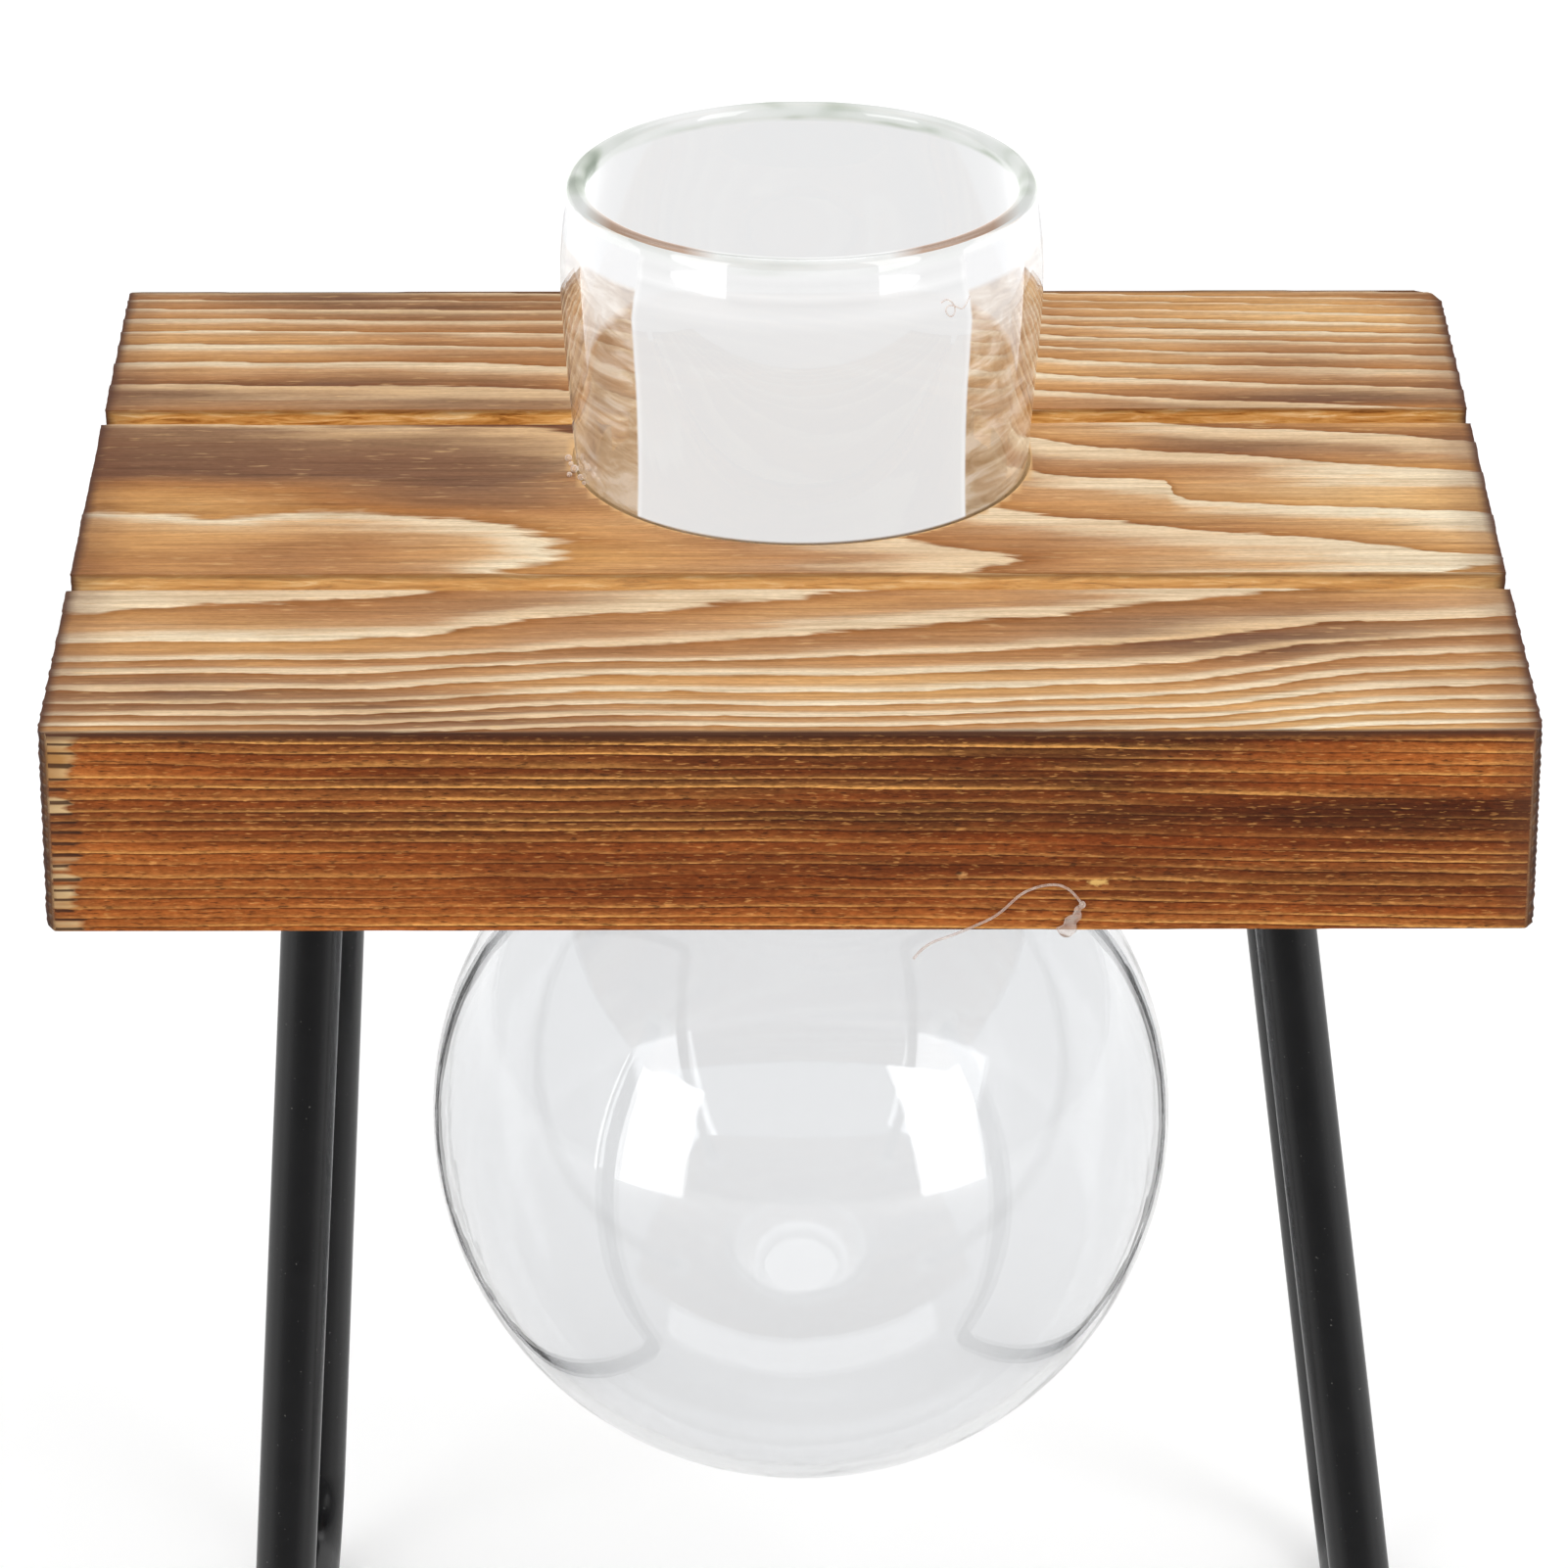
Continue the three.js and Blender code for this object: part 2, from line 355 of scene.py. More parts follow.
def soft_wood(phase):
    """How far the soft wood is worn, 0 to 1, from the hard line of a ring to the next one."""
    return soft_step(0.22, 0.5, phase) * (0.8 + 0.2 * phase)


mesh = board.data
worn = board.vertex_groups.new(name="worn")
deepest_wear = 0.0008
end_round = 0.0013              # the ends' lower arrises are worn round
# Darker and paler patches on the top: how much, the middle and width across the board, and where
# along the board each one starts and is full, in millimetres.
scorch_patches = (
    (0.70, 12, 9, -14, -34), (0.35, 30, 4, -15, -30), (0.40, 15, 5, 32, 50), (0.30, 28, 3, 40, 60),
    (-0.25, -8, 9, -5, -30), (-0.30, 0, 10, 45, 65),
)
ring_counts = []
mark_values = []
for vertex in mesh.vertices:
    x, y, z = vertex.co
    on_long_edge = y < front_y + arris * 0.8 or y > rear_y - arris * 0.8
    count = rings_at(x, y, z, on_long_edge)
    ring_counts.append(count)
    phase = count % 1.0
    in_groove = z < top_z - 0.0002 and any(
        abs(y - groove_y) < groove_width / 2 + 0.00005 for groove_y in (front_groove_y, rear_groove_y)
    ) and z > top_z - groove_depth - 0.0002
    from_axis = math.hypot(x - vase_x, y - vase_y)
    in_hole = from_axis < hole_radius + 0.00005
    on_end = abs(x) > half_width - 0.00005
    on_edge_face = on_long_edge or on_end
    if in_groove:
        wear = 0.00016 * (1 + wander(x, y, z, 0.0022, 0.0009, 5.5))
    elif in_hole:
        wear = 0.00004
    elif on_end:
        wear = 0.00014 * soft_step(0.15, 0.5, phase) * (0.8 + 0.2 * wander(x, y, z, 0.01, 0.0015, 8.8))
    elif on_edge_face:
        wear = 0.00006 * soft_step(0.10, 0.30, phase) * (0.75 + 0.25 * wander(x, y, z, 0.01, 0.0012, 2.2))
    else:
        rim = soft_step(hole_radius + 0.0003, hole_radius + 0.0020, from_axis)
        wear = (0.00012 * soft_wood(phase) + 0.00003 * wander(x, y, z, 0.006, 0.0008, 9.1)) * rim
    from_end = half_width - abs(x)
    if not in_hole:
        ragged = 0.5 + 0.5 * wander(x, y, z, 0.004, 0.0011, 6.4)
        wear += 0.00010 * (0.2 + ragged) * (1 - soft_step(0.0, 0.0012, from_end))
    from_corner = min(from_end, end_round) / end_round, min(z - under_z, end_round) / end_round
    if min(from_corner) < 0.05:
        wear += 0.41 * end_round * (1 - max(from_corner)) ** 2
    worn.add([vertex.index], min(max(wear / deepest_wear, 0.0), 1.0), 'REPLACE')

    mm_x, mm_y = x * 1000, y * 1000
    scorch = 0.53 + 0.42 * wander(x, y, 0, 0.045, 0.014, 4.2)
    for amount, middle, width, starts, is_full in scorch_patches:
        scorch += amount * bump_at(mm_y, middle, width) * soft_step(starts, is_full, mm_x)
    mark_values.extend((
        min(max(scorch, 0.0), 1.0),
        1.0 if on_edge_face else 0.0,
        1.0 if in_groove else 0.0,
        1.0 if in_hole else 0.0,
    ))
mesh.attributes.new("rings", 'FLOAT', 'POINT').data.foreach_set("value", ring_counts)
mesh.attributes.new("marks", 'FLOAT_COLOR', 'POINT').data.foreach_set("color", mark_values)

brushing = board.modifiers.new("brushing", 'DISPLACE')
brushing.direction = 'NORMAL'
brushing.mid_level = 0
brushing.strength = -deepest_wear
brushing.vertex_group = worn.name
finish_modifier(board, brushing)
shade_smooth(board)


def light_of(value):
    """The linear strength of a colour channel that is written as 0 to 255."""
    share = value / 255
    return share / 12.92 if share <= 0.04045 else ((share + 0.055) / 1.055) ** 2.4


def paint(red, green, blue):
    return (light_of(red), light_of(green), light_of(blue), 1.0)


def new_material(name):
    material = bpy.data.materials.new(name)
    material.use_nodes = True
    tree = material.node_tree
    tree.nodes.clear()
    return material, tree


def add_node(kind, settings=None, **inputs):
    """Adds a node to the tree that is called tree at the time. Inputs are given by name, or as i and
    their number, and hold values or sockets to link."""
    made = tree.nodes.new(kind if kind.startswith('NodeGroup') else 'ShaderNode' + kind)
    for key, value in (settings or {}).items():
        setattr(made, key, value)
    for key, value in inputs.items():
        by_number = key[0] == 'i' and key[1:].isdigit()
        socket = made.inputs[int(key[1:]) if by_number else key.replace('_', ' ')]
        if isinstance(value, bpy.types.NodeSocket):
            tree.links.new(value, socket)
        else:
            socket.default_value = value
    return made


def show(shader):
    add_node('OutputMaterial', Surface=shader.outputs[0])


def math_node(operation, *values, clamp=False):
    inputs = {f"i{place}": value for place, value in enumerate(values)}
    return add_node('Math', {"operation": operation, "use_clamp": clamp}, **inputs).outputs[0]


def math_tool(operation):
    """A function that adds one kind of Math node and gives its output."""
    return lambda *values, clamp=False: math_node(operation, *values, clamp=clamp)


plus, minus, times = math_tool('ADD'), math_tool('SUBTRACT'), math_tool('MULTIPLY')
times_plus, divided, absolute = math_tool('MULTIPLY_ADD'), math_tool('DIVIDE'), math_tool('ABSOLUTE')
larger, is_less = math_tool('MAXIMUM'), math_tool('LESS_THAN')


def mix(share, first, second, how='MIX'):
    settings = {"data_type": 'RGBA', "blend_type": how}
    return add_node('Mix', settings, i0=share, i6=first, i7=second).outputs[2]


def tinted(colour, tone, share=1.0):
    return mix(share, colour, tone, 'MULTIPLY')


def ramp(share, *stops):
    """A Color Ramp. Each stop has a place, and a colour or a grey from 0 to 1."""
    made = add_node('ValToRGB', i0=share)
    points = made.color_ramp.elements
    while len(points) < len(stops):
        points.new(0.5)
    for point, (place, value) in zip(points, stops):
        point.position = place
        point.color = value if isinstance(value, tuple) else (value, value, value, 1)
    return made.outputs[0]


def spread(value, low, high, to_low=0, to_high=1):
    """A Map Range node: low becomes to_low, and high becomes to_high."""
    return add_node('MapRange', Value=value, From_Min=low, From_Max=high, To_Min=to_low,
                    To_Max=to_high).outputs[0]


def noise_node(place, scale, detail, roughness=0.5, distortion=0.0):
    return add_node('TexNoise', Vector=place, Scale=scale, Detail=detail, Roughness=roughness,
                    Distortion=distortion).outputs[0]


def stretched(place, x, y, z):
    return add_node('VectorMath', {"operation": 'MULTIPLY'}, i0=place, i1=(x, y, z)).outputs[0]


def streaky_noise(place, stretch, detail, roughness, distortion=0.0):
    """Noise with its own number of lumps in a metre along X, Y and Z."""
    return noise_node(stretched(place, *stretch), 1.0, detail, roughness, distortion)


def put_on(piece, material):
    piece.data.materials.clear()
    piece.data.materials.append(material)


pine, tree = new_material("scorched_brushed_pine")
place = add_node('TexCoord').outputs['Object']
at_x, at_y, at_z = add_node('SeparateXYZ', i0=place).outputs
ring_count = add_node('Attribute', {"attribute_name": "rings"}).outputs['Fac']
marks_node = add_node('Attribute', {"attribute_name": "marks"})
marks_split = add_node('SeparateColor', i0=marks_node.outputs['Color'])
scorch_mark, edge_mark, raw_mark = marks_split.outputs[0], marks_split.outputs[1], marks_split.outputs[2]
bore_mark = marks_node.outputs['Alpha']

fibres = streaky_noise(place, (34, 1000, 1000), 4, 0.6)
streaks = streaky_noise(place, (14, 260, 260), 3, 0.55)
flecks = streaky_noise(place, (260, 1500, 1500), 2, 0.5)
clouds = streaky_noise(place, (26, 70, 70), 3, 0.5)
grain = streaky_noise(place, (110, 3200, 3200), 3, 0.6)
speckle = streaky_noise(place, (1100, 3600, 3600), 2, 0.6)
feather = streaky_noise(place, (130, 420, 420), 2, 0.5)
bands = streaky_noise(place, (7, 7, 230), 2, 0.5)
ragged_edge = times_plus(flecks, 0.09, times_plus(fibres, 0.16, -0.215))
ragged_edge = times_plus(feather, 0.18, ragged_edge)
phase = math_node('FRACT', plus(ring_count, ragged_edge))
widening = times_plus(streaks, 2.4, -0.18)
# Between the saw cuts the pale streaks are thin on the left and broad on the right.
streak_width = spread(at_x, -0.045, 0.04, 0.58, 1.35)
in_middle = is_less(absolute(at_y), 0.0215)
streak_width = times_plus(minus(streak_width, 1), in_middle, 1)
widening = times(widening, streak_width)
eased_phase = math_node('POWER', phase, widening)

hardness = ramp(eased_phase, (0, 1), (0.13, 0.96), (0.25, 0.66), (0.38, 0.26), (0.6, 0.12),
                (0.85, 0.05), (0.93, 0), (0.955, 0), (1, 0.95))
scorched = times_plus(clouds, 0.9, plus(scorch_mark, -0.45), clamp=True)
soft_colour = ramp(scorched, (0, paint(211, 166, 106)), (0.35, paint(192, 140, 82)),
                   (0.6, paint(161, 108, 61)), (0.9, paint(101, 64, 45)))
dark_line = ramp(phase, (0.8, 0), (0.96, 1))
line_strength = times(dark_line, times(streaks, 0.85))
soft_colour = mix(line_strength, soft_colour, paint(124, 74, 34))
hard_colour = mix(scorched, paint(231, 219, 193), paint(200, 164, 122))
top_colour = mix(hardness, soft_colour, hard_colour)
fleck_mask = ramp(flecks, (0.62, 0), (0.72, 1))
fleck_share = times(fleck_mask, 0.34)
top_colour = mix(fleck_share, top_colour, paint(222, 184, 132))
streak_tone = ramp(fibres, (0.3, (0.76, 0.72, 0.66, 1)), (0.5, 1), (0.72, (1.16, 1.16, 1.14, 1)))
grain_tone = ramp(grain, (0.3, (0.8, 0.77, 0.72, 1)), (0.5, 1), (0.7, (1.12, 1.13, 1.14, 1)))
speckle_tone = ramp(speckle, (0.3, (0.72, 0.68, 0.62, 1)), (0.5, 1), (0.7, (1.28, 1.3, 1.32, 1)))
top_colour = tinted(top_colour, streak_tone)
top_colour = tinted(top_colour, grain_tone)
top_colour = tinted(top_colour, speckle_tone, 0.35)

edge_line = ramp(phase, (0, 1), (0.14, 0.9), (0.26, 0.3), (0.45, 0.16), (0.75, 0.08), (0.93, 0),
                 (0.98, 0), (1, 1))
line_choice = streaky_noise(place, (20, 20, 560), 2, 0.6)
line_groups = times(ramp(line_choice, (0.4, 0.08), (0.58, 1)), ramp(bands, (0.38, 0.35), (0.55, 1)))
edge_depth = divided(minus(top_z, at_z), top_z - under_z)
# The torch burnt the upper middle and the lower right of the front most, and the left end least.
along = times_plus(at_x, 0.5 / half_width, 0.5)


def patch(along_stops, depth_stops):
    return times(ramp(along, *along_stops), ramp(edge_depth, *depth_stops))


left_light = patch(((0, 1), (0.22, 0.85), (0.4, 0.35), (0.55, 0.18), (0.7, 0)),
                   ((0, 0.35), (0.3, 0.6), (0.48, 1), (0.75, 0.6)))
right_light = patch(((0.78, 0), (0.92, 1)), ((0.3, 1), (0.45, 0)))
middle_dark = patch(((0.03, 0), (0.22, 1), (0.7, 1), (0.84, 0)), ((0.26, 1), (0.36, 0)))
right_dark = patch(((0.58, 0), (0.75, 1), (1, 0.7)), ((0.6, 0), (0.72, 1)))
line_groups = times_plus(left_light, 0.35, line_groups, clamp=True)
edge_line = times(edge_line, line_groups)
edge_zone = ramp(edge_depth, (0, 0.3), (0.14, 0.6), (0.3, 0.5), (0.44, 0.22), (0.58, 0.6), (0.95, 0.7))
edge_tone = times_plus(bands, 0.35, times(clouds, 0.35))
edge_tone = times_plus(edge_zone, 0.3, edge_tone)
for burn, amount in ((left_light, 0.115), (right_light, 0.07), (middle_dark, -0.16), (right_dark, -0.09)):
    edge_tone = times_plus(burn, amount, edge_tone)
edge_soft = ramp(edge_tone, (0.4, paint(74, 33, 13)), (0.5, paint(121, 57, 21)), (0.61, paint(156, 83, 34)))
edge_colour = mix(edge_line, edge_soft, paint(210, 150, 82))
under_line = ramp(phase, (0.8, 0), (0.95, 0.75))
line_breaks = ramp(streaky_noise(place, (70, 70, 1500), 2, 0.5), (0.4, 0.25), (0.56, 1))
unbroken = larger(line_breaks, ramp(along, (0.7, 0), (0.9, 1)))
under_line = times(under_line, unbroken)
edge_colour = mix(under_line, edge_colour, paint(54, 25, 10))
dashes = streaky_noise(place, (620, 4400, 4400), 2, 0.5)
dash_mask = ramp(dashes, (0.61, 0), (0.67, 1))
edge_colour = mix(times(dash_mask, 0.45), edge_colour, paint(206, 148, 84))
# Small dark pits across the front face: painted shade of hollows that the mesh doesn't have.
pit_shade_mask = ramp(dashes, (0.34, 1), (0.39, 0))
edge_colour = mix(times(pit_shade_mask, 0.65), edge_colour, paint(46, 22, 10))
edge_colour = tinted(edge_colour, streak_tone)
edge_colour = tinted(edge_colour, speckle_tone)
wood_colour = mix(edge_mark, top_colour, edge_colour)

raw_noise = streaky_noise(place, (150, 1500, 1500), 4, 0.65, 0.6)
raw_colour = ramp(raw_noise, (0.28, paint(134, 82, 32)), (0.42, paint(200, 144, 74)),
                  (0.55, paint(226, 178, 108)), (0.7, paint(250, 226, 178)))
# The saw burnt the rear cut a little, and the front one not.
pale_cut = times(is_less(at_y, 0), 0.3)
raw_colour = mix(pale_cut, raw_colour, paint(244, 214, 160))
wood_colour = mix(raw_mark, wood_colour, raw_colour)
wood_colour = mix(bore_mark, wood_colour, paint(206, 164, 114))

# Torn fibres at the left end of the front face, pale, with painted shade for the slits between the year
# rings, which the mesh doesn't have.
left_end_distance = plus(at_x, half_width)
torn_reach = times_plus(streaks, 0.0036, times(flecks, 0.0036))
torn = minus(1, divided(left_end_distance, torn_reach), clamp=True)
on_front = is_less(at_y, 0.0)
torn = times(times(torn, edge_mark), on_front)
torn_patches = streaky_noise(place, (5, 5, 400), 2, 0.6)
torn_share = times(ramp(torn, (0, 0), (0.25, 0.9)), ramp(torn_patches, (0.43, 0), (0.5, 1)))
torn_colour = ramp(feather, (0.35, paint(196, 146, 84)), (0.6, paint(234, 202, 150)))
wood_colour = mix(torn_share, wood_colour, torn_colour)
slit_shade = ramp(phase, (0.66, 0), (0.74, 1), (0.93, 1), (1, 0))
slit_shade = times(slit_shade, ramp(torn, (0, 0), (0.12, 0.9), (0.8, 0.9), (1, 0.2)))
wood_colour = mix(slit_shade, wood_colour, paint(30, 18, 12))

on_front_face = times(on_front, edge_mark)
spot_edge = streaky_noise(place, (900, 1400, 1400), 3, 0.6)


def spot(x, z, reach_x, reach_z):
    """A mask that is 1 at a place on the front face and 0 beyond its reaches, with a ragged edge."""
    from_spot = add_node('VectorMath', {"operation": 'SUBTRACT'}, i0=place, i1=(x, 0, z)).outputs[0]
    from_spot = stretched(from_spot, 1 / reach_x, 0, 1 / reach_z)
    away = add_node('VectorMath', {"operation": 'LENGTH'}, i0=from_spot).outputs['Value']
    away = times_plus(spot_edge, 2.6, plus(away, -1.3))
    return times(ramp(away, (0.3, 0.85), (0.95, 0)), on_front_face)


# Two marks on the front face: a pale fleck of torn wood, and a small hollow with a pale rim, whose dark is
# painted shade, as the mesh has no hollow there.
wood_colour = mix(spot(0.0306, 0.1434, 0.0012, 0.0005), wood_colour, paint(226, 182, 108))
wood_colour = mix(spot(0.0173, 0.1442, 0.0008, 0.0005), wood_colour, paint(206, 150, 92))
wood_colour = mix(spot(0.0169, 0.1444, 0.0006, 0.0003), wood_colour, paint(40, 20, 12))

# Char along the arrises: the ends burn most, then the front edge of the top.
end_distance = minus(half_width, absolute(at_x))
front_distance = minus(at_y, front_y)
rear_distance = minus(rear_y, at_y)
top_distance = minus(top_z, at_z)
char_noise = streaky_noise(place, (60, 420, 420), 3, 0.6)


def char_band(distance, reach):
    """A mask that is 1 at an arris and fades, unevenly, over a reach in metres."""
    ragged = times(plus(char_noise, 0.35), reach)
    return minus(1, divided(distance, ragged), clamp=True)


char = char_band(end_distance, 0.0016)
off_the_edges = minus(1, edge_mark)
for distance, reach, where in (
    (front_distance, 0.0010, off_the_edges), (rear_distance, 0.0012, off_the_edges),
    (top_distance, 0.0013, edge_mark), (top_distance, 0.0011, raw_mark),
):
    char = larger(char, times(char_band(distance, reach), where))
char_shade = ramp(char, (0, 0), (0.35, 0.35), (0.75, 0.92), (1, 1))
burnt_colour = mix(char_band(end_distance, 0.003), paint(70, 42, 28), paint(42, 32, 34))
wood_colour = mix(char_shade, wood_colour, burnt_colour)
smoke = times(char_band(end_distance, 0.0065), 0.55)
wood_colour = mix(smoke, wood_colour, paint(98, 60, 40))

# The sawn ends show the year rings across: burnt dark, with paler lines and upright saw marks.
profile_steps = 24
profile_span = 24               # year rings, more than any end crosses
across_share = spread(at_y, front_y, rear_y)


def ring_profile(x):
    """The ring count along one end of the board's top, front to rear, as shares of the span."""
    stops = []
    for i in range(profile_steps + 1):
        y = front_y + (rear_y - front_y) * i / profile_steps
        stops.append((i / profile_steps, 0.5 + ring_count_at(x * 1000, y * 1000) / profile_span))
    return ramp(across_share, *stops)


at_right = math_node('GREATER_THAN', at_x, 0.0)
profile = mix(at_right, ring_profile(-half_width), ring_profile(half_width))
end_count = times(minus(profile, 0.5), profile_span)
end_count = plus(end_count, divided(top_distance, ring_thickness))
end_phase = math_node('FRACT', times_plus(feather, 0.5, end_count))
saw_marks = streaky_noise(place, (40, 1300, 90), 3, 0.6)
end_colour = ramp(
    end_phase, (0, paint(118, 78, 46)), (0.18, paint(96, 58, 34)), (0.6, paint(74, 43, 27)),
    (0.9, paint(44, 28, 22)), (0.97, paint(118, 78, 46)))
end_tone = ramp(saw_marks, (0.3, (0.62, 0.6, 0.6, 1)), (0.5, 1), (0.7, (1.35, 1.32, 1.28, 1)))
end_colour = tinted(end_colour, end_tone)
end_rim = larger(char_band(front_distance, 0.0022), char_band(rear_distance, 0.0022))
end_rim = larger(char_band(top_distance, 0.0016), end_rim)
end_colour = mix(end_rim, end_colour, paint(46, 32, 30))
level_normal = add_node('SeparateXYZ', i0=add_node('NewGeometry').outputs['Normal'])
end_face = ramp(absolute(level_normal.outputs['X']), (0.55, 0), (0.85, 1))
end_face = times(end_face, is_less(end_distance, 0.0012))
wood_colour = mix(end_face, wood_colour, end_colour)

height = times_plus(fibres, 0.5, times(grain, 0.5))
height = times_plus(times(raw_noise, raw_mark), 1.2, height)
grain_relief = add_node('Bump', Strength=0.35, Distance=0.0004, Height=height)
shine = ramp(hardness, (0, 0.74), (1, 0.55))
wood_shader = add_node('BsdfPrincipled', Base_Color=wood_colour, Roughness=shine,
                       Specular_IOR_Level=0.12, Normal=grain_relief.outputs[0])
show(wood_shader)
put_on(board, pine)
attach(board, "root")
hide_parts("board")


# The vase is one blown piece of clear glass: a thin globe, a short shoulder and a thicker neck that
# swells a little above the board and ends in a round, fire-polished lip.

vase_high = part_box("glass_vase")[1]
globe_radius = 0.0415
globe_centre_z = top_z - 0.0798
globe_wall = 0.0015
neck_wall = 0.0021
neck_foot_radius = 0.0232
neck_board_radius = 0.0245
neck_belly_radius = 0.0259
neck_belly_z = top_z + 0.0205
lip_radius = 0.0251
lip_z = vase_high[2] - neck_wall / 2 - 0.00002
shoulder_radius = 0.014
globe_steps = 44
vase_sides = 128


def arc(centre_r, centre_z, radius, start, end, steps):
    return [(centre_r + radius * math.cos(start + (end - start) * i / steps),
             centre_z + radius * math.sin(start + (end - start) * i / steps)) for i in range(steps + 1)]


def through(points, steps):
    """Points along a smooth curve through four stations, the first and the last one included."""
    row = [points[0]] + list(points) + [points[-1]]
    made = []
    for a, b, c, d in zip(row, row[1:], row[2:], row[3:]):
        for i in range(steps):
            t = i / steps
            made.append(tuple(
                0.5 * (2 * q + (r - p) * t + (2 * p - 5 * q + 4 * r - s) * t * t
                       + (3 * q - p - 3 * r + s) * t ** 3) for p, q, r, s in zip(a, b, c, d)))
    return made + [points[-1]]


def wall_side(neck_inset, globe_inset, shoulder, steps):
    """One side of the glass wall as radius and height, from the globe's pole up to the lip."""
    globe = globe_radius - globe_inset
    foot = neck_foot_radius - neck_inset
    rise = math.sqrt((globe + shoulder) ** 2 - (foot + shoulder) ** 2)
    meet = math.atan2(rise, foot + shoulder)
    neck = through([(foot, under_z), (neck_board_radius - neck_inset, top_z),
                    (neck_belly_radius - neck_inset, neck_belly_z), (lip_radius - neck_inset, lip_z)], 8)
    return (arc(0, globe_centre_z, globe, -math.pi / 2, meet, steps)
            + arc(foot + shoulder, globe_centre_z + rise, shoulder, math.pi + meet, math.pi, 10)[1:]
            + neck)


outer_side = wall_side(0, 0, shoulder_radius, globe_steps)
inner_side = wall_side(neck_wall, globe_wall, shoulder_radius + (neck_wall + globe_wall) / 2, globe_steps)
lip = arc(lip_radius - neck_wall / 2, lip_z, neck_wall / 2, 0, math.pi, 10)[1:-1]
section = outer_side + lip + inner_side[::-1]


def spin_section(name, section, centre, steps, closed=True):
    """Spins an outline of radius and height about an upright axis, as a wall all round. One that isn't
    closed starts and ends on the axis."""
    bpy.ops.mesh.primitive_circle_add(vertices=len(section), radius=0.01)
    piece = named(name)
    start_editing(piece)
    shape = bmesh.from_edit_mesh(piece.data)
    shape.verts.ensure_lookup_table()
    for corner, (radius, height) in zip(shape.verts, section):
        corner.co = (centre[0] + radius, centre[1], centre[2] + height)
    bmesh.update_edit_mesh(piece.data)
    if not closed:
        pick('edges', lambda e: {v.index for v in e.verts} == {0, len(section) - 1})
        bpy.ops.mesh.delete(type='EDGE')
    take_all()
    bpy.ops.mesh.spin(steps=steps, angle=2 * math.pi, center=centre, axis=(0, 0, 1))
    close_up()
    return piece


vase = spin_section("glass_vase_blown", section, (vase_x, vase_y, 0), vase_sides, closed=False)
work_on(vase)
bpy.ops.object.shade_smooth()

# The middle of the neck looks pale and flat from outside, and so does its inside through the mouth:
# the glass glows there, a painted light made by emission. The lip glows a painted grey-green light.
painted_glow_edge = 0.283               # how far the glass turns away, 0 to 1, where the painted glow ends
inside_glow_from = top_z + 0.0115
between_walls = 0.0241
lip_from = lip_z - 0.0009
glass, tree = new_material("blown_clear_glass")
place = add_node('TexCoord').outputs['Object']
at_x, at_y, at_z = add_node('SeparateXYZ', i0=place).outputs
ripple = streaky_noise(place, (26, 26, 12), 1.5, 0.4)
draw_lines = streaky_noise(place, (180, 180, 6), 2, 0.5)
round_lines = streaky_noise(place, (16, 16, 900), 2, 0.5)
lip_patches = streaky_noise(place, (70, 70, 300), 2, 0.6)
glass_height = times_plus(draw_lines, 0.18, ripple)
glass_relief = add_node('Bump', Strength=0.12, Distance=0.0010, Height=glass_height)
outward = minus(1, add_node('NewGeometry').outputs['Backfacing'])
level_place = add_node('CombineXYZ', i0=at_x, i1=at_y).outputs[0]
from_axis = add_node('VectorMath', {"operation": 'DISTANCE'}, i0=level_place,
                     i1=(vase_x, vase_y, 0)).outputs['Value']
outer_wall = math_node('GREATER_THAN', from_axis, between_walls)
inner_wall = minus(1, outer_wall)
above_board = spread(at_z, top_z, lip_z)
lean = ramp(above_board, (0, 0.11), (0.3, 0.09), (0.6, 0.068), (0.75, 0.045), (0.9, 0))
facing = add_node('LayerWeight', Blend=0.5).outputs['Facing']
turned = minus(facing, lean)
outer_cover = ramp(turned, (0, 1), (painted_glow_edge, 1), (painted_glow_edge + 0.004, 0.62), (0.55, 0.45), (0.8, 0.2))
on_neck = ramp(above_board, (0, 0), (0.008, 1))
outer_painted_glow = times(times(outer_cover, on_neck), outer_wall)
inside_cover = spread(at_z, inside_glow_from, inside_glow_from + 0.0012)
painted_glow_share = times_plus(inside_cover, inner_wall, outer_painted_glow)
# The painted glow is an even pale grey, with a painted highlight as a brighter line just inside its edge;
# painted bands of light run round the neck under the lip.
rim_light = ramp(turned, (0, 0.745), (painted_glow_edge - 0.02, 0.75), (painted_glow_edge - 0.004, 0.84), (painted_glow_edge, 0.7))
collar_light = ramp(above_board, (0.78, 0), (0.84, 0.07), (0.885, 0), (0.91, 0.1), (0.95, 0.02), (1, 0.08))
collar_light = times(collar_light, ramp(round_lines, (0.3, 0.6), (0.6, 1)))
painted_glow_light = plus(rim_light, collar_light)
# Painted light on the clear sides: upright streaks of pale wood, which stand in for the wood seen through
# the glass, and plain pale grey above the height where wood shows.
side_lines = streaky_noise(place, (150, 110, 430), 3, 0.6, 0.7)
side_light = ramp(side_lines, (0.34, paint(154, 124, 96)), (0.48, paint(190, 165, 138)),
                  (0.64, paint(228, 214, 198)))
wood_height = ramp(above_board, (0.845, 1), (0.865, 0))
side_light = mix(wood_height, paint(218, 218, 219), side_light)
side_share = ramp(turned, (painted_glow_edge, 0), (painted_glow_edge + 0.004, 1))
painted_glow_light = mix(side_share, painted_glow_light, side_light)
painted_glow_light = mix(inner_wall, painted_glow_light, (0.745, 0.75, 0.755, 1))
